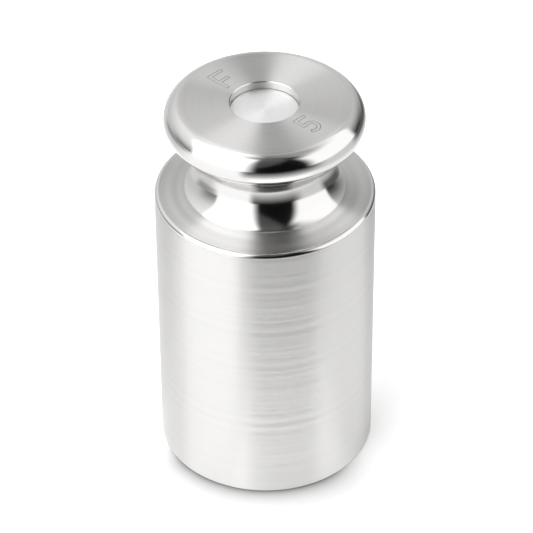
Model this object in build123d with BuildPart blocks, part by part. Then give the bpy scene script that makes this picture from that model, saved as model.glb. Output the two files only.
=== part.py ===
"""Knob-type calibration weight of 5 kg, with an adjusting cavity.

The body is one turned piece of stainless steel: a cylinder with a flat shoulder, a neck that
flares down to the shoulder and sweeps up into a round-edged knob. A stepped bore runs down its
axis from the knob's face. From the top it holds a pressed-in sealing disc, a threaded plug, and
the cavity with its adjusting shot.

Millimetres, +Z up, origin at the centre of the foot.
"""

import os
from math import atan2, degrees, radians, sin, tan

from build123d import *

# Cylinder and foot
body_diameter = 80.0
shoulder_height = 112.5
shoulder_edge_radius = 1.5
foot_edge_chamfer = 0.6
foot_recess_diameter = 62.0
foot_recess_depth = 0.8
foot_recess_chamfer = 0.5

# Neck: neck_gap is the height between the shoulder and the knob's underside. The flare runs
# from the neck's narrowest place down into the shoulder, tangent to both
neck_diameter = 44.0
neck_gap = 24.7
lower_flare_radius = 14.0
shoulder_land = 0.3

# Knob: a disc with a fully rounded edge
knob_diameter = 72.0
knob_thickness = 13.2

# Sealing disc, sunk below the knob's face
seal_bore_diameter = 24.8
seal_recess_depth = 3.1
seal_thickness = 2.5
seal_bore_chamfer = 0.25
seal_edge_chamfer = 0.3
seal_clearance = 0.03

# Threaded plug, on the ledge where the thread ends
thread_diameter = 22.0
thread_length = 11.0
plug_length = 9.5
plug_chamfer = 0.4
plug_clearance = 0.05
slot_width = 2.5
slot_depth = 3.0

# Adjusting cavity and its shot
cavity_diameter = 20.0
cavity_length = 83.0
drill_point_angle = 118.0
shot_diameter = 6.0
shot_length = 8.0
shot_clearance = 0.04

# Heights and radii that follow from the sizes above
body_radius = body_diameter / 2
neck_radius = neck_diameter / 2
shoulder_reach = body_radius - shoulder_edge_radius - shoulder_land - neck_radius
lower_flare = min(lower_flare_radius, shoulder_reach)
neck_level = shoulder_height + lower_flare
knob_underside = shoulder_height + neck_gap
knob_edge_radius = knob_thickness / 2
knob_flat_radius = knob_diameter / 2 - knob_edge_radius
knob_level = knob_underside + knob_edge_radius
knob_face = knob_underside + knob_thickness

# Upper flare: it leaves the neck upright and runs tangent into the knob's edge, or into a flat
# underside where the knob reaches out further than the flare
knob_reach = knob_flat_radius - neck_radius
underside_rise = knob_underside - neck_level
knob_rise = knob_level - neck_level
if knob_reach > underside_rise:
    upper_flare = underside_rise
    upper_flare_end = 90.0
else:
    upper_flare = (knob_reach**2 + knob_rise**2 - knob_edge_radius**2) / (2 * (knob_reach + knob_edge_radius))
    upper_flare_end = degrees(atan2(knob_rise, knob_reach - upper_flare))

seal_top = knob_face - seal_recess_depth
seal_ledge = seal_top - seal_thickness
plug_ledge = seal_ledge - thread_length
plug_top = plug_ledge + plug_length
cavity_floor = plug_ledge - cavity_length
drill_point_depth = cavity_diameter / 2 / tan(radians(drill_point_angle / 2))
cavity_apex = cavity_floor - drill_point_depth


# Body, turned from one bar
with BuildPart() as body:
    with BuildSketch(Plane.XZ):
        with BuildLine():
            Line((0, 0), (body_radius, 0))
            Line((body_radius, 0), (body_radius, shoulder_height))
            Line((body_radius, shoulder_height), (neck_radius + lower_flare, shoulder_height))
            CenterArc((neck_radius + lower_flare, neck_level), lower_flare, 270, -90)
            CenterArc((neck_radius + upper_flare, neck_level), upper_flare, 180, upper_flare_end - 180)
            if knob_reach > upper_flare:
                Line((neck_radius + upper_flare, knob_underside), (knob_flat_radius, knob_underside))
            knob_edge_centre = (knob_flat_radius, knob_level)
            CenterArc(knob_edge_centre, knob_edge_radius, upper_flare_end - 180, 270 - upper_flare_end)
            Line((knob_flat_radius, knob_face), (0, knob_face))
            Line((0, knob_face), (0, 0))
        make_face()
    revolve(axis=Axis.Z)
    rims = body.edges().filter_by(lambda edge: edge.geom_type == GeomType.CIRCLE)
    rims = rims.filter_by(lambda rim: abs(rim.radius - body_radius) < 1e-6).sort_by(Axis.Z)
    fillet(rims[-1], radius=shoulder_edge_radius)
    chamfer(body.faces().sort_by(Axis.Z)[0].outer_wire().edges(), length=foot_edge_chamfer)

    with BuildSketch(Plane.XY):
        Circle(foot_recess_diameter / 2)
    extrude(amount=foot_recess_depth, mode=Mode.SUBTRACT)
    chamfer(body.faces().sort_by(Axis.Z)[0].inner_wires()[0].edges(), length=foot_recess_chamfer)

    with Locations((0, 0, knob_face)):
        CounterBoreHole(
            radius=thread_diameter / 2,
            counter_bore_radius=seal_bore_diameter / 2,
            counter_bore_depth=knob_face - seal_ledge,
            depth=knob_face - plug_ledge,
        )
        Hole(radius=cavity_diameter / 2, depth=knob_face - cavity_floor)
    with Locations((0, 0, cavity_floor)):
        Cone(
            bottom_radius=0,
            top_radius=cavity_diameter / 2,
            height=drill_point_depth,
            align=(Align.CENTER, Align.CENTER, Align.MAX),
            mode=Mode.SUBTRACT,
        )
    chamfer(body.faces().sort_by(Axis.Z)[-1].inner_wires()[0].edges(), length=seal_bore_chamfer)
body.part.label = "body"


# Sealing disc, pressed into the bore on its ledge
with BuildPart() as sealing_disc:
    with BuildSketch(Plane.XY.offset(seal_ledge)):
        Circle(seal_bore_diameter / 2 - seal_clearance)
    extrude(amount=seal_thickness)
    chamfer(sealing_disc.edges().sort_by(Axis.Z)[-1], length=seal_edge_chamfer)
sealing_disc.part.label = "sealing_disc"


# Threaded plug, screwed down on its ledge, with a screwdriver slot
with BuildPart() as cavity_plug:
    with BuildSketch(Plane.XY.offset(plug_ledge)):
        Circle(thread_diameter / 2 - plug_clearance)
    extrude(amount=plug_length)
    chamfer(cavity_plug.edges().filter_by(GeomType.CIRCLE), length=plug_chamfer)
    with BuildSketch(Plane.XY.offset(plug_top)):
        Rectangle(thread_diameter, slot_width)
    extrude(amount=-slot_depth, mode=Mode.SUBTRACT)
cavity_plug.part.label = "cavity_plug"


# Adjusting shot: a piece of cut wire, standing in the cavity's drill point
shot_lift = shot_clearance / sin(radians(drill_point_angle / 2))
shot_height = cavity_apex + shot_diameter / 2 / tan(radians(drill_point_angle / 2)) + shot_lift
with BuildPart() as adjusting_shot:
    with BuildSketch(Plane.XY.offset(shot_height)):
        Circle(shot_diameter / 2)
    extrude(amount=shot_length)
adjusting_shot.part.label = "adjusting_shot"


os.makedirs("parts", exist_ok=True)
for piece in (body, sealing_disc, cavity_plug, adjusting_shot):
    export_step(piece.part, f"parts/{piece.part.label}.step")
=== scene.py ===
"""Looks of a 5 kg knob-type calibration weight: turned stainless steel with a sunk sealing disc.

Metres, +Z up, origin at the centre of the foot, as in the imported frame.
"""

from math import acos, atan2, cos, degrees, radians, sin, tan

import bmesh
import bpy
import numpy as np
from mathutils import Matrix, Vector


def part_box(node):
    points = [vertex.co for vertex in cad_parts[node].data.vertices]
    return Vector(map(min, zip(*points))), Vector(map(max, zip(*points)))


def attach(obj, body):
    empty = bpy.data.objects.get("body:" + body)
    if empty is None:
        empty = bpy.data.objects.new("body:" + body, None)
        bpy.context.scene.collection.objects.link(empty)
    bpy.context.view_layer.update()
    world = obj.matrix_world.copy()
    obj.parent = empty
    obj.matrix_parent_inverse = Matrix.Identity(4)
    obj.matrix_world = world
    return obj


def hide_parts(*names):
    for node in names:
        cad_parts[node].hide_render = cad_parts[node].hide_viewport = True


MM = 0.001

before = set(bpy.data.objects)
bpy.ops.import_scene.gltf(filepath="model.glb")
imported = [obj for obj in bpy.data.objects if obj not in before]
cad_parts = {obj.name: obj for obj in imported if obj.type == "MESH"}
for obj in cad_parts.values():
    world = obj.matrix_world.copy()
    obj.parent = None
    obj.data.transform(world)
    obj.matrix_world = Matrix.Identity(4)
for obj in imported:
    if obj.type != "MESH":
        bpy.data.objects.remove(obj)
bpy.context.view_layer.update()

# Camera: a long lens, looking down at the weight from in front
LENS = 204.81
CAMERA_DISTANCE = 1.1182
CAMERA_ELEVATION = radians(38.72)
CAMERA_ROLL = radians(-0.36)
CAMERA_TARGET = Vector((0.00034, 0.0, 0.07584))
CLIP_END = 20.0

# Sizes of the turned body, as in the solid that it stands for
BODY_RADIUS = 40.0 * MM
SHOULDER_HEIGHT = 112.5 * MM
SHOULDER_EDGE = 1.5 * MM
FOOT_CHAMFER = 0.6 * MM
FOOT_RECESS_RADIUS = 31.0 * MM
FOOT_RECESS_DEPTH = 0.8 * MM
FOOT_RECESS_CHAMFER = 0.5 * MM
NECK_RADIUS = 22.0 * MM
LOWER_FLARE = 14.0 * MM
KNOB_RADIUS = 36.0 * MM
KNOB_UNDERSIDE = 137.2 * MM
KNOB_FACE = 150.4 * MM
KNOB_EDGE = (KNOB_FACE - KNOB_UNDERSIDE) / 2
KNOB_FLAT_RADIUS = KNOB_RADIUS - KNOB_EDGE
BORE_RADIUS = 12.4 * MM
BORE_CHAMFER = 0.25 * MM
SEAL_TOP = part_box("sealing_disc")[1][2]
SEAL_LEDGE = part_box("sealing_disc")[0][2]
SEAL_RADIUS = 12.37 * MM
SEAL_CHAMFER = 0.3 * MM
PLUG_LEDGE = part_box("cavity_plug")[0][2]
THREAD_RADIUS = 11.0 * MM
CAVITY_RADIUS = 10.0 * MM
CAVITY_LENGTH = 83.0 * MM
DRILL_POINT = radians(118.0)

# Where finishes change: the radius that the neck's polish reaches on the lower flare, and the
# degrees on the knob's edge at which the satin of its face ends
POLISH_REACH = 29.1 * MM
FACING_END = 76.0

# Engraved characters: their place on the knob's face, their height and their hairline
MARK_RADIUS = 20.4 * MM
CLASS_MARK_AZIMUTH = radians(135.2)
FIGURE_AZIMUTH = radians(-41.0)
READING_AZIMUTH = radians(46.4)
CHARACTER_HEIGHT = 9.9 * MM
STROKE = 1.3 * MM
HAIRLINE = 0.28 * MM
HAIRLINE_DEPTH = 0.1 * MM

# Meshes: points round each ring, where a straight stretch has its two inner rings as a share of
# its length, the distance below which points are welded, and the turn that makes an edge sharp
POINTS_AROUND = 288
RING_INSET = 0.02
WELD = 1e-7
SHARP_ANGLE = radians(25)


def linked(name, data):
    """A new object, linked to the scene."""
    thing = bpy.data.objects.new(name, data)
    bpy.context.collection.objects.link(thing)
    return thing


def quads(rows, columns, closed=False):
    """The faces of a grid of points, row after row.

    Each row closes on itself, and the last row joins the first one if closed."""
    joins = np.arange(rows if closed else rows - 1)
    row, column = np.meshgrid(joins, np.arange(columns), indexing="ij")
    here = row * columns + column
    beside = row * columns + (column + 1) % columns
    onward = ((row + 1) % rows - row) * columns
    return np.stack([here, beside, beside + onward, here + onward], axis=-1).reshape(-1, 4)


def arc_points(centre, radius, angles):
    """centre + radius * (cos a, sin a), for each a of some angles in degrees."""
    turn = np.radians(angles)
    return np.array(centre) + radius * np.stack([np.cos(turn), np.sin(turn)], axis=1)


# Profiles: rows of (radius, height), each stretch with the finish its faces get

def straight(start, end, finish):
    """A straight stretch: its start, then a ring near each end, to keep the shading's turn there."""
    start = np.array(start)
    end = np.array(end)
    along = np.array([[0.0], [RING_INSET], [1 - RING_INSET]])
    return start + (end - start) * along, finish


def round_stretch(centre, radius, first, last, finish, steps):
    """A circular stretch from the first angle to the last, in degrees."""
    return arc_points(centre, radius, np.linspace(first, last, steps, endpoint=False)), finish


def turned_surface(name, stretches, end, materials):
    """Turns a profile round the Z axis: (radius cos t, radius sin t, height) for t once round.

    Faces run from each ring to the next, and the rings of no radius at both ends become points."""
    rows = np.concatenate([points for points, finish in stretches] + [np.array([end])])
    finish = np.concatenate([np.full(len(points), finish) for points, finish in stretches])
    turn = np.linspace(0, 2 * np.pi, POINTS_AROUND, endpoint=False)
    heights = np.repeat(rows[:, 1:], POINTS_AROUND, axis=1)
    grid = np.stack([rows[:, :1] * np.cos(turn), rows[:, :1] * np.sin(turn), heights], axis=-1)
    faces = quads(len(rows), POINTS_AROUND)

    mesh = bpy.data.meshes.new(name)
    mesh.from_pydata(grid.reshape(-1, 3).tolist(), [], faces.tolist())
    mesh.polygons.foreach_set("material_index", np.repeat(finish, POINTS_AROUND))
    for material in materials:
        mesh.materials.append(material)
    shape = bmesh.new()
    shape.from_mesh(mesh)
    bmesh.ops.remove_doubles(shape, verts=shape.verts, dist=WELD)
    shape.to_mesh(mesh)
    shape.free()
    smooth_between_corners(mesh)
    return linked(name, mesh)


def smooth_between_corners(mesh):
    """Shades a mesh smoothly, except across its sharp edges."""
    mesh.polygons.foreach_set("use_smooth", np.ones(len(mesh.polygons), dtype=bool))
    mesh.set_sharp_from_angle(angle=SHARP_ANGLE)
    mesh.update()


# Engraved characters

def letter_f():
    """The outline of a block F, centred: stem, top arm and middle arm of one stroke's width."""
    height = CHARACTER_HEIGHT
    top = 0.69 * height
    middle = 0.56 * height
    low = 0.40 * height
    outline = [
        (0, 0), (STROKE, 0), (STROKE, low), (middle, low), (middle, low + STROKE),
        (STROKE, low + STROKE), (STROKE, height - STROKE), (top, height - STROKE), (top, height),
        (0, height),
    ]
    return np.array(outline) - [top / 2, height / 2]


def figure_5():
    """The outline of a block 5, centred: bar, stem and a bowl between two arcs round one centre.

    The bowl's outer arc starts at the angle where it meets the stem's right edge."""
    height = CHARACTER_HEIGHT
    outer = 0.31 * height
    inner = outer - STROKE
    centre = np.array([0.27 * height, outer])
    stem = 0.02 * height
    stem_foot = 0.48 * height
    bar_end = 0.56 * height
    outer_start = degrees(acos((stem + STROKE - centre[0]) / outer))
    inner_start = 130
    tail = -140
    steps = 22
    bar = [(bar_end, height), (bar_end, height - STROKE), (stem + STROKE, height - STROKE)]
    outer_arc = arc_points(centre, outer, np.linspace(outer_start, tail, steps))
    inner_arc = arc_points(centre, inner, np.linspace(tail, inner_start, steps))
    stem_end = [(stem, stem_foot), (stem, height)]
    outline = np.concatenate([bar, outer_arc, inner_arc, stem_end])
    return outline - (outline.min(axis=0) + outline.max(axis=0)) / 2


def mitres(outline):
    """The mitre at each corner of a closed outline.

    It is the sum of the two runs' unit normals, over 1 plus their dot product."""
    runs = np.roll(outline, -1, axis=0) - outline
    runs = runs / np.linalg.norm(runs, axis=1, keepdims=True)
    after = np.stack([-runs[:, 1], runs[:, 0]], axis=1)
    before = np.roll(after, 1, axis=0)
    return (before + after) / (1 + np.sum(before * after, axis=1, keepdims=True))


def graver_path(name, outline, azimuth):
    """A V-section carried round a closed outline, as a tool to cut with.

    Its two upper edges run above the knob's face and its keel below. A point of the outline is
    laid at place + x * reading direction + y * upward direction."""
    reading = np.array([cos(READING_AZIMUTH), sin(READING_AZIMUTH)])
    upward = np.array([-sin(READING_AZIMUTH), cos(READING_AZIMUTH)])
    place = MARK_RADIUS * np.array([cos(azimuth), sin(azimuth)])
    side = mitres(outline) * HAIRLINE
    corners = ((side, HAIRLINE_DEPTH), (-side, HAIRLINE_DEPTH), (0 * side, -HAIRLINE_DEPTH))
    points = []
    for shift, height in corners:
        flat = outline + shift
        laid = place + flat[:, :1] * reading + flat[:, 1:] * upward
        points.append(np.column_stack([laid, np.full(len(laid), KNOB_FACE + height)]))
    faces = quads(len(corners), len(outline), closed=True)
    mesh = bpy.data.meshes.new(name)
    mesh.from_pydata(np.concatenate(points).tolist(), [], faces.tolist())
    shape = bmesh.new()
    shape.from_mesh(mesh)
    bmesh.ops.recalc_face_normals(shape, faces=shape.faces)
    shape.to_mesh(mesh)
    shape.free()
    return linked(name, mesh)


def engrave(piece, tool, material):
    """Cuts a tool's shape out of a piece, with the tool's material on the cut, and removes it."""
    tool.data.materials.append(material)
    cut = piece.modifiers.new("engrave", "BOOLEAN")
    cut.operation = "DIFFERENCE"
    cut.solver = "EXACT"
    cut.material_mode = "TRANSFER"
    cut.object = tool
    bpy.context.view_layer.objects.active = piece
    bpy.ops.object.modifier_apply(modifier=cut.name)
    bpy.data.objects.remove(tool)
    smooth_between_corners(piece.data)


# Node helpers

def put(tree, socket, value):
    """Links a socket to an input, or sets the input to a number."""
    if isinstance(value, bpy.types.NodeSocket):
        tree.links.new(value, socket)
    else:
        socket.default_value = value


def calc(tree, operation, first, second=0.0, third=0.0):
    """A Math node on sockets or numbers; returns its output socket."""
    node = tree.nodes.new("ShaderNodeMath")
    node.operation = operation
    for socket, value in zip(node.inputs, (first, second, third)):
        put(tree, socket, value)
    return node.outputs[0]


def times(tree, first, *others):
    """The product of sockets."""
    for other in others:
        first = calc(tree, "MULTIPLY", first, other)
    return first


def darkened(tree, tone, *shades):
    """A tone times 1 minus each of some shades."""
    for shade in shades:
        tone = calc(tree, "MULTIPLY", tone, calc(tree, "SUBTRACT", 1.0, shade))
    return tone


def ramp(tree, value, low, high, to_low=0.0, to_high=1.0):
    """A smooth step of a value, from to_low below low to to_high above high."""
    node = tree.nodes.new("ShaderNodeMapRange")
    node.interpolation_type = "SMOOTHSTEP"
    tree.links.new(value, node.inputs["Value"])
    node.inputs["From Min"].default_value = low
    node.inputs["From Max"].default_value = high
    node.inputs["To Min"].default_value = to_low
    node.inputs["To Max"].default_value = to_high
    return node.outputs["Result"]


def fall(tree, value, low, high):
    """A smooth step of a value, from 1 below low to 0 above high."""
    return ramp(tree, value, low, high, 1.0, 0.0)


def between(tree, value, rising, falling):
    """1 between two smooth steps, each given as where it begins and where it ends."""
    return times(tree, ramp(tree, value, *rising), fall(tree, value, *falling))


def mixed(tree, first, second, amount):
    """first where the amount is 0, second where it is 1."""
    node = tree.nodes.new("ShaderNodeMix")
    for socket, value in zip(node.inputs[:1] + node.inputs[2:4], (amount, first, second)):
        put(tree, socket, value)
    return node.outputs[0]


def coordinates(tree, source):
    """The X, Y and Z of a vector, on the outputs of one node."""
    node = tree.nodes.new("ShaderNodeSeparateXYZ")
    tree.links.new(source, node.inputs[0])
    return node


def radius_of(tree, parts):
    """The distance from the Z axis, from a vector's coordinates."""
    x, y = parts.outputs["X"], parts.outputs["Y"]
    return calc(tree, "SQRT", calc(tree, "MULTIPLY_ADD", y, y, calc(tree, "MULTIPLY", x, x)))


def azimuth_of(tree, parts):
    """The azimuth in degrees, from a vector's coordinates: 0 in front, positive to the right."""
    front = calc(tree, "MULTIPLY", parts.outputs["Y"], -1.0)
    return calc(tree, "DEGREES", calc(tree, "ARCTAN2", parts.outputs["X"], front))


# Materials. Noise runs in units of the lines' pitch: the fine lines as relief, and broad bands
# of them as a change of tone and roughness
FINE_SCALE = 1.0
FINE_DETAIL = 2.0
BAND_SCALE = 0.11
BAND_DETAIL = 3.0
BAND_RANGE = (0.25, 0.75)
BAND_ROUGHNESS = 0.06
QUARTER_TURN = 0.25

STEEL = (0.66, 0.655, 0.645)
# The engraved grooves' colour: steel darkened as painted shade in the grooves
CUT_STEEL_PAINTED_SHADE = (0.25, 0.25, 0.25)
ALUMINIUM = (0.88, 0.88, 0.88)


def noise_along(tree, value, scale, detail):
    """One-dimensional noise along a value."""
    node = tree.nodes.new("ShaderNodeTexNoise")
    node.noise_dimensions = "1D"
    node.inputs["Scale"].default_value = scale
    node.inputs["Detail"].default_value = detail
    tree.links.new(value, node.inputs["W"])
    return node.outputs["Fac"]


def turning_lines():
    """Node group: the lines that a lathe tool leaves, as noise along one distance."""
    group = bpy.data.node_groups.new("turning_lines", "ShaderNodeTree")
    group.interface.new_socket("Distance", in_out="INPUT", socket_type="NodeSocketFloat")
    group.interface.new_socket("Pitch", in_out="INPUT", socket_type="NodeSocketFloat")
    group.interface.new_socket("Height", in_out="OUTPUT", socket_type="NodeSocketFloat")
    group.interface.new_socket("Tone", in_out="OUTPUT", socket_type="NodeSocketFloat")
    inside = group.nodes.new("NodeGroupInput")
    out = group.nodes.new("NodeGroupOutput")
    turns = calc(group, "DIVIDE", inside.outputs["Distance"], inside.outputs["Pitch"])
    fine = noise_along(group, turns, FINE_SCALE, FINE_DETAIL)
    bands = noise_along(group, turns, BAND_SCALE, BAND_DETAIL)
    group.links.new(fine, out.inputs["Height"])
    group.links.new(bands, out.inputs["Tone"])
    return group


def leaned_normal(tree, place, distance, lean):
    """The surface's normal, leaned outward from the axis as a facing tool's grooves lean it."""
    outward = tree.nodes.new("ShaderNodeCombineXYZ")
    for axis in "XY":
        share = calc(tree, "DIVIDE", place.outputs[axis], distance)
        tree.links.new(calc(tree, "MULTIPLY", share, lean), outward.inputs[axis])
    turned = tree.nodes.new("ShaderNodeVectorTransform")
    turned.vector_type = "VECTOR"
    turned.convert_from = "OBJECT"
    turned.convert_to = "WORLD"
    tree.links.new(outward.outputs[0], turned.inputs[0])
    surface = tree.nodes.new("ShaderNodeNewGeometry")
    total = tree.nodes.new("ShaderNodeVectorMath")
    total.operation = "ADD"
    tree.links.new(surface.outputs["Normal"], total.inputs[0])
    tree.links.new(turned.outputs[0], total.inputs[1])
    unit = tree.nodes.new("ShaderNodeVectorMath")
    unit.operation = "NORMALIZE"
    tree.links.new(total.outputs[0], unit.inputs[0])
    return unit.outputs[0]


def turned_metal(
    lines, name, colour, along, *, roughness, anisotropy, pitch, depth, tone, lean=0.0
):
    """A turned metal: turning lines along the radius or the height, and gloss across them.

    depth is the lines' relief, and tone is how much darker the darkest bands are."""
    material = bpy.data.materials.new(name)
    material.use_nodes = True
    tree = material.node_tree
    shader = tree.nodes["Principled BSDF"]
    shader.inputs["Metallic"].default_value = 1.0
    shader.inputs["Anisotropic"].default_value = anisotropy
    shader.inputs["Anisotropic Rotation"].default_value = QUARTER_TURN

    place = tree.nodes.new("ShaderNodeTexCoord")
    parts = coordinates(tree, place.outputs["Object"])
    distance = parts.outputs["Z"] if along == "height" else radius_of(tree, parts)
    turned = tree.nodes.new("ShaderNodeGroup")
    turned.node_tree = lines
    tree.links.new(distance, turned.inputs["Distance"])
    turned.inputs["Pitch"].default_value = pitch

    shade = ramp(tree, turned.outputs["Tone"], *BAND_RANGE, 1 - tone, 1.0)
    colours = tree.nodes.new("ShaderNodeMix")
    colours.data_type = "RGBA"
    colours.inputs["A"].default_value = (0.0, 0.0, 0.0, 1.0)
    colours.inputs["B"].default_value = (*colour, 1.0)
    tree.links.new(shade, colours.inputs["Factor"])
    tree.links.new(colours.outputs["Result"], shader.inputs["Base Color"])
    roughest = roughness * (1 + BAND_ROUGHNESS)
    smoothest = roughness * (1 - BAND_ROUGHNESS)
    rough = ramp(tree, turned.outputs["Tone"], *BAND_RANGE, roughest, smoothest)
    tree.links.new(rough, shader.inputs["Roughness"])

    bump = tree.nodes.new("ShaderNodeBump")
    bump.inputs["Distance"].default_value = depth
    tree.links.new(turned.outputs["Height"], bump.inputs["Height"])
    if lean:
        tree.links.new(leaned_normal(tree, parts, distance, lean), bump.inputs["Normal"])
    tree.links.new(bump.outputs["Normal"], shader.inputs["Normal"])
    return material


lines = turning_lines()
satin_side = turned_metal(
    lines, "satin_turned_side", STEEL, "height",
    roughness=0.38, anisotropy=0.95, pitch=0.25 * MM, depth=0.0004 * MM, tone=0.02,
)
shoulder_steel = turned_metal(
    lines, "faced_shoulder", STEEL, "radius",
    roughness=0.42, anisotropy=1.0, pitch=0.25 * MM, depth=0.0006 * MM, tone=0.03, lean=0.25,
)
faced_steel = turned_metal(
    lines, "faced_steel", STEEL, "radius",
    roughness=0.34, anisotropy=0.98, pitch=0.25 * MM, depth=0.0006 * MM, tone=0.03,
)
polished_steel = turned_metal(
    lines, "polished_steel", STEEL, "height",
    roughness=0.12, anisotropy=0.5, pitch=0.3 * MM, depth=0.0002 * MM, tone=0.02,
)
bored_steel = turned_metal(
    lines, "bored_steel", STEEL, "height",
    roughness=0.22, anisotropy=0.3, pitch=0.4 * MM, depth=0.001 * MM, tone=0.03,
)
# The engraved grooves: a rough cut finish, and a dark colour that is painted shade in them
cut_steel_painted_shade = turned_metal(
    lines, "cut_steel_painted_shade", CUT_STEEL_PAINTED_SHADE, "radius",
    roughness=0.45, anisotropy=0.0, pitch=0.3 * MM, depth=0.0005 * MM, tone=0.03,
)
matt_aluminium = turned_metal(
    lines, "matt_aluminium", ALUMINIUM, "radius",
    roughness=0.55, anisotropy=0.4, pitch=0.3 * MM, depth=0.001 * MM, tone=0.03,
)

# Camera

camera = linked("camera", bpy.data.cameras.new("camera"))
camera.data.lens = LENS
camera.data.clip_end = CLIP_END
back = Vector((0.0, -cos(CAMERA_ELEVATION), sin(CAMERA_ELEVATION)))
camera.matrix_world = (
    Matrix.Translation(CAMERA_TARGET + CAMERA_DISTANCE * back)
    @ Matrix.Rotation(radians(90) - CAMERA_ELEVATION, 4, "X")
    @ Matrix.Rotation(CAMERA_ROLL, 4, "Z")
)
bpy.context.scene.camera = camera

# The body

SIDE, SHOULDER, FACE, POLISH, BORE = range(5)
cavity_floor = PLUG_LEDGE - CAVITY_LENGTH
cavity_apex = cavity_floor - CAVITY_RADIUS / tan(DRILL_POINT / 2)
shoulder_centre = (BODY_RADIUS - SHOULDER_EDGE, SHOULDER_HEIGHT - SHOULDER_EDGE)
neck_level = SHOULDER_HEIGHT + LOWER_FLARE
knob_centre = (KNOB_FLAT_RADIUS, KNOB_UNDERSIDE + KNOB_EDGE)
lower_centre = (NECK_RADIUS + LOWER_FLARE, neck_level)
bore_rim = BORE_RADIUS + BORE_CHAMFER
recess_rim = FOOT_RECESS_RADIUS + FOOT_RECESS_CHAMFER
foot_rim = BODY_RADIUS - FOOT_CHAMFER

# The upper flare leaves the neck upright and runs tangent into the knob's edge. Its radius
# follows from (reach - radius)^2 + rise^2 = (radius + edge)^2, for the edge's centre at
# (reach, rise) from the neck's narrowest place
reach = KNOB_FLAT_RADIUS - NECK_RADIUS
rise = knob_centre[1] - neck_level
upper_flare = (reach**2 + rise**2 - KNOB_EDGE**2) / (2 * (reach + KNOB_EDGE))
flare_end = degrees(atan2(rise, reach - upper_flare))
upper_centre = (NECK_RADIUS + upper_flare, neck_level)
polish_end = 180 + degrees(acos((lower_centre[0] - POLISH_REACH) / LOWER_FLARE))

foot_profile = [
    straight((0, FOOT_RECESS_DEPTH), (FOOT_RECESS_RADIUS, FOOT_RECESS_DEPTH), FACE),
    straight(
        (FOOT_RECESS_RADIUS, FOOT_RECESS_DEPTH), (FOOT_RECESS_RADIUS, FOOT_RECESS_CHAMFER), POLISH
    ),
    straight((FOOT_RECESS_RADIUS, FOOT_RECESS_CHAMFER), (recess_rim, 0), POLISH),
    straight((recess_rim, 0), (foot_rim, 0), FACE),
    straight((foot_rim, 0), (BODY_RADIUS, FOOT_CHAMFER), POLISH),
]
outer_profile = [
    straight((BODY_RADIUS, FOOT_CHAMFER), (BODY_RADIUS, shoulder_centre[1]), SIDE),
    round_stretch(shoulder_centre, SHOULDER_EDGE, 0, 90, POLISH, steps=14),
    straight((shoulder_centre[0], SHOULDER_HEIGHT), (lower_centre[0], SHOULDER_HEIGHT), SHOULDER),
    round_stretch(lower_centre, LOWER_FLARE, 270, polish_end, SHOULDER, steps=14),
    round_stretch(lower_centre, LOWER_FLARE, polish_end, 180, POLISH, steps=28),
    round_stretch(upper_centre, upper_flare, 180, flare_end, POLISH, steps=32),
    round_stretch(knob_centre, KNOB_EDGE, flare_end - 180, FACING_END, POLISH, steps=52),
    round_stretch(knob_centre, KNOB_EDGE, FACING_END, 90, FACE, steps=6),
    straight((KNOB_FLAT_RADIUS, KNOB_FACE), (bore_rim, KNOB_FACE), FACE),
]
bore_profile = [
    straight((bore_rim, KNOB_FACE), (BORE_RADIUS, KNOB_FACE - BORE_CHAMFER), BORE),
    straight((BORE_RADIUS, KNOB_FACE - BORE_CHAMFER), (BORE_RADIUS, SEAL_LEDGE), BORE),
    straight((BORE_RADIUS, SEAL_LEDGE), (THREAD_RADIUS, SEAL_LEDGE), BORE),
    straight((THREAD_RADIUS, SEAL_LEDGE), (THREAD_RADIUS, PLUG_LEDGE), BORE),
    straight((THREAD_RADIUS, PLUG_LEDGE), (CAVITY_RADIUS, PLUG_LEDGE), BORE),
    straight((CAVITY_RADIUS, PLUG_LEDGE), (CAVITY_RADIUS, cavity_floor), BORE),
    straight((CAVITY_RADIUS, cavity_floor), (0, cavity_apex), BORE),
]
body_profile = foot_profile + outer_profile + bore_profile
body_finishes = [satin_side, shoulder_steel, faced_steel, polished_steel, bored_steel]
body = turned_surface("turned_body", body_profile, (0, cavity_apex), body_finishes)
# Engraved characters; their grooves take the rough steel with painted shade
engrave(body, graver_path("class_mark", letter_f(), CLASS_MARK_AZIMUTH), cut_steel_painted_shade)
engrave(body, graver_path("figure_mark", figure_5(), FIGURE_AZIMUTH), cut_steel_painted_shade)
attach(body, "root")
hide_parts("body")

# The sealing disc

disc_profile = [
    straight((0, SEAL_LEDGE), (SEAL_RADIUS, SEAL_LEDGE), 0),
    straight((SEAL_RADIUS, SEAL_LEDGE), (SEAL_RADIUS, SEAL_TOP - SEAL_CHAMFER), 0),
    straight((SEAL_RADIUS, SEAL_TOP - SEAL_CHAMFER), (SEAL_RADIUS - SEAL_CHAMFER, SEAL_TOP), 0),
    straight((SEAL_RADIUS - SEAL_CHAMFER, SEAL_TOP), (0, SEAL_TOP), 0),
]
disc = turned_surface("disc", disc_profile, (0, SEAL_TOP), [matt_aluminium])
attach(disc, "root")
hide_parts("sealing_disc")

for node in ("cavity_plug", "adjusting_shot"):
    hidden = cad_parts[node]
    hidden.data.materials.clear()
    hidden.data.materials.append(bored_steel)

# Studio: a white table, a soft panel on each side, a pale wall behind and darkness round the
# camera. Azimuths are 0 in front and positive to the right. A pair of angles, in degrees, or of
# distances from the weight's axis is where a smooth step begins and where it ends

# The wall behind, from overhead down, and where it gives way to the camera's side
WALL_TONE = 0.78
OVERHEAD_TONE = 0.25
OVERHEAD = (50.0, 90.0)
BEHIND = (60.0, 80.0)

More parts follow.
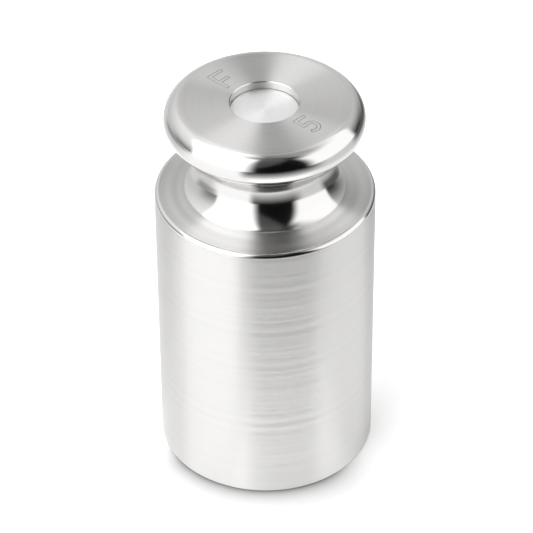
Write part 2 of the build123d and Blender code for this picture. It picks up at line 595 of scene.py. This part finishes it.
# What brightens it high on the left, and dims it low in the corners beside it
BACK_LEFT_GLOW = 0.5
BACK_LEFT = ((-185.0, -140.0), (-80.0, -60.0))
BACK_LEFT_RISE = (0.0, 55.0)
RIGHT_CORNER_SHADE = 0.95
RIGHT_CORNER_NEAR = (60.0, 80.0)
RIGHT_CORNER_FAR = (122.0, 168.0)
RIGHT_CORNER_TOP = (0.0, 42.0)
LEFT_CORNER_SHADE = 0.7
LEFT_CORNER_NEAR = (-80.0, -60.0)
LEFT_CORNER_FAR = (-128.0, -98.0)
LEFT_CORNER_TOP = (-5.0, 28.0)

# The side where the camera stands: nearly black below an edge that slants up to the right
DARKEST = 0.006
DIM = 0.09
DIM_EDGE = (26.0, 44.0)
DIM_SLANT = 0.8
DIM_OVERHEAD = 0.07
DIM_OVERHEAD_RISE = (50.0, 85.0)

# The panels. Their rear edges lean back as they rise, by PANEL_LEAN at PANEL_LEAN_HEIGHT
LEFT_PANEL = 2.2
LEFT_PANEL_REAR = (-86.0, -78.0)
LEFT_PANEL_FRONT = (-29.0, -8.0)
LEFT_PANEL_BACK = (-180.0, -155.0)
LEFT_PANEL_TOP = (70.0, 86.0)
RIGHT_PANEL = 1.5
RIGHT_PANEL_REAR = (108.0, 114.0)
RIGHT_PANEL_FRONT = (42.0, 58.0)
RIGHT_PANEL_BACK = (150.0, 180.0)
RIGHT_PANEL_TOP = (48.0, 68.0)
PANEL_LEAN = 90.0
PANEL_LEAN_HEIGHT = 65.0
PANEL_LEAN_POWER = 3.0


def wall_light(tree, azimuth, elevation):
    """The pale wall behind, with its glow on the left and its two dim corners."""
    wall = ramp(tree, elevation, *OVERHEAD, WALL_TONE, OVERHEAD_TONE)
    back_left = times(
        tree,
        between(tree, azimuth, *BACK_LEFT),
        ramp(tree, elevation, *BACK_LEFT_RISE, 0.0, BACK_LEFT_GLOW),
    )
    right_corner = times(
        tree,
        ramp(tree, azimuth, *RIGHT_CORNER_NEAR),
        ramp(tree, azimuth, *RIGHT_CORNER_FAR, RIGHT_CORNER_SHADE, 0.0),
        fall(tree, elevation, *RIGHT_CORNER_TOP),
    )
    left_corner = times(
        tree,
        fall(tree, azimuth, *LEFT_CORNER_NEAR),
        ramp(tree, azimuth, *LEFT_CORNER_FAR, 0.0, LEFT_CORNER_SHADE),
        fall(tree, elevation, *LEFT_CORNER_TOP),
    )
    return darkened(tree, calc(tree, "ADD", wall, back_left), right_corner, left_corner)


def front_light(tree, azimuth, elevation):
    """The camera's side of the room."""
    slanting = calc(tree, "MULTIPLY_ADD", azimuth, -DIM_SLANT, elevation)
    dim = ramp(tree, slanting, *DIM_EDGE, DARKEST, DIM)
    return calc(tree, "ADD", dim, ramp(tree, elevation, *DIM_OVERHEAD_RISE, 0.0, DIM_OVERHEAD))


def panels(tree, azimuth, elevation):
    """How far a direction falls on the left panel, and how far on the right one."""
    height = calc(tree, "MAXIMUM", calc(tree, "DIVIDE", elevation, PANEL_LEAN_HEIGHT), 0.0)
    lean = calc(tree, "MULTIPLY", calc(tree, "POWER", height, PANEL_LEAN_POWER), PANEL_LEAN)
    left = times(
        tree,
        ramp(tree, calc(tree, "ADD", azimuth, lean), *LEFT_PANEL_REAR),
        fall(tree, azimuth, *LEFT_PANEL_FRONT),
        ramp(tree, azimuth, *LEFT_PANEL_BACK),
        fall(tree, elevation, *LEFT_PANEL_TOP),
    )
    right = times(
        tree,
        fall(tree, calc(tree, "SUBTRACT", azimuth, lean), *RIGHT_PANEL_REAR),
        ramp(tree, azimuth, *RIGHT_PANEL_FRONT),
        fall(tree, azimuth, *RIGHT_PANEL_BACK),
        fall(tree, elevation, *RIGHT_PANEL_TOP),
    )
    return left, right


def studio_world():
    """The room's light by direction. The camera itself sees plain white."""
    world = bpy.data.worlds.new("studio")
    bpy.context.scene.world = world
    world.use_nodes = True
    tree = world.node_tree
    tree.nodes.clear()
    direction = tree.nodes.new("ShaderNodeTexCoord")
    parts = coordinates(tree, direction.outputs["Generated"])
    azimuth = azimuth_of(tree, parts)
    elevation = calc(tree, "DEGREES", calc(tree, "ARCSINE", parts.outputs["Z"]))

    front = front_light(tree, azimuth, elevation)
    wall = wall_light(tree, azimuth, elevation)
    behind = ramp(tree, calc(tree, "ABSOLUTE", azimuth), *BEHIND)
    left, right = panels(tree, azimuth, elevation)
    light = mixed(tree, front, wall, behind)
    light = mixed(tree, light, LEFT_PANEL, left)
    light = mixed(tree, light, RIGHT_PANEL, right)

    studio = tree.nodes.new("ShaderNodeBackground")
    studio.inputs["Color"].default_value = (1.0, 1.0, 1.0, 1.0)
    tree.links.new(light, studio.inputs["Strength"])
    white = tree.nodes.new("ShaderNodeBackground")
    white.inputs["Color"].default_value = (1.0, 1.0, 1.0, 1.0)
    path = tree.nodes.new("ShaderNodeLightPath")
    seen = tree.nodes.new("ShaderNodeMixShader")
    tree.links.new(path.outputs["Is Camera Ray"], seen.inputs["Fac"])
    tree.links.new(studio.outputs[0], seen.inputs[1])
    tree.links.new(white.outputs[0], seen.inputs[2])
    out = tree.nodes.new("ShaderNodeOutputWorld")
    tree.links.new(seen.outputs[0], out.inputs["Surface"])


# The table: its tone to the camera, to scattered light, and in the metal's reflections. The camera's
# tone holds a painted shadow, and the reflections' tone holds painted light and shade
TABLE_REACH = 4.0
TABLE_ROUGHNESS = 0.9
TABLE_SEEN = 1.35
TABLE_LIT = 0.85
TABLE_REFLECTED = 0.8
# Painted light: the reflected tone on the left, brighter than TABLE_REFLECTED
TABLE_PAINTED_LIGHT_LEFT = 1.3
ON_LEFT = ((-110.0, -80.0), (-30.0, -15.0))

# In front, the reflected tone fades beyond FADE_START, to half over FADE_LENGTH: painted light that
# falls off away from the weight
IN_FRONT = ((-30.0, -15.0), (45.0, 70.0))
FADE_TONE = 1.05
FADE_START = 0.1
FADE_LENGTH = 0.2
FADE_POWER = 1.4

# Painted light makes it brighter near the weight, except on the left, and painted shade makes it
# darker far off in the back corners
NEAR_PAINTED_LIGHT = 0.5
NEAR = (0.12, 0.3)
TABLE_RIGHT_CORNER = ((100.0, 116.0), (145.0, 172.0))
TABLE_RIGHT_DISTANCE = (0.15, 0.62)
TABLE_RIGHT_SHADE = 0.85
TABLE_LEFT_CORNER = ((-140.0, -122.0), (-95.0, -78.0))
TABLE_LEFT_DISTANCE = (0.35, 0.7)
TABLE_LEFT_SHADE = 0.5

# The shadow under the foot's front edge: its depth there, and the distance at which it halves
SHADOW_DEPTH = 0.85
SHADOW_REACH = 3.6 * MM
SHADOW_FRONT = ((-85.0, -50.0), (30.0, 70.0))


def painted_reflected_tone(tree, azimuth, distance):
    """The table's tone as the metal reflects it, with its painted light and shade."""
    on_left = between(tree, azimuth, *ON_LEFT)
    in_front = between(tree, azimuth, *IN_FRONT)
    past = calc(tree, "MAXIMUM", calc(tree, "SUBTRACT", distance, FADE_START), 0.0)
    beyond = calc(tree, "POWER", calc(tree, "DIVIDE", past, FADE_LENGTH), FADE_POWER)
    fading = calc(tree, "DIVIDE", FADE_TONE, calc(tree, "ADD", beyond, 1.0))
    # Painted light: brighter on the left, and fading off in front
    tone = mixed(tree, TABLE_REFLECTED, TABLE_PAINTED_LIGHT_LEFT, on_left)
    tone = mixed(tree, tone, fading, in_front)
    # Painted light, brighter near the weight
    near = darkened(tree, ramp(tree, distance, *NEAR, NEAR_PAINTED_LIGHT, 0.0), on_left)
    tone = calc(tree, "MULTIPLY_ADD", tone, near, tone)
    # Painted shade, darker far off in the back corners
    right_corner = times(
        tree,
        between(tree, azimuth, *TABLE_RIGHT_CORNER),
        ramp(tree, distance, *TABLE_RIGHT_DISTANCE, 0.0, TABLE_RIGHT_SHADE),
    )
    left_corner = times(
        tree,
        between(tree, azimuth, *TABLE_LEFT_CORNER),
        ramp(tree, distance, *TABLE_LEFT_DISTANCE, 0.0, TABLE_LEFT_SHADE),
    )
    return darkened(tree, tone, right_corner, left_corner)


def seen_tone(tree, azimuth, distance):
    """The table's tone as the camera sees it: overexposed, but for the shadow under the foot."""
    from_foot = calc(tree, "MAXIMUM", calc(tree, "SUBTRACT", distance, foot_rim), 0.0)
    fading = calc(tree, "MULTIPLY_ADD", from_foot, 1.0 / SHADOW_REACH, 1.0)
    shadow = calc(tree, "DIVIDE", SHADOW_DEPTH, fading)
    shadow = times(tree, shadow, between(tree, azimuth, *SHADOW_FRONT))
    return calc(tree, "MULTIPLY_ADD", shadow, -TABLE_SEEN, TABLE_SEEN)


def white_table():
    """The table that the weight stands on, with a tone for each kind of ray."""
    mesh = bpy.data.meshes.new("table")
    far = TABLE_REACH
    corners = [(-far, -far, 0), (far, -far, 0), (far, far, 0), (-far, far, 0)]
    mesh.from_pydata(corners, [], [(0, 1, 2, 3)])
    table = linked("table", mesh)
    material = bpy.data.materials.new("table_white")
    material.use_nodes = True
    tree = material.node_tree
    shader = tree.nodes["Principled BSDF"]
    shader.inputs["Roughness"].default_value = TABLE_ROUGHNESS
    shader.inputs["Specular IOR Level"].default_value = 0.0
    place = tree.nodes.new("ShaderNodeNewGeometry")
    parts = coordinates(tree, place.outputs["Position"])
    azimuth = azimuth_of(tree, parts)
    distance = radius_of(tree, parts)
    reflected = painted_reflected_tone(tree, azimuth, distance)
    seen = seen_tone(tree, azimuth, distance)
    path = tree.nodes.new("ShaderNodeLightPath")
    tone = mixed(tree, TABLE_LIT, reflected, path.outputs["Is Glossy Ray"])
    tone = mixed(tree, tone, seen, path.outputs["Is Camera Ray"])
    colour = tree.nodes.new("ShaderNodeCombineColor")
    for channel in colour.inputs:
        tree.links.new(tone, channel)
    tree.links.new(colour.outputs[0], shader.inputs["Base Color"])
    mesh.materials.append(material)


studio_world()
white_table()
bpy.context.scene.view_settings.view_transform = "Standard"
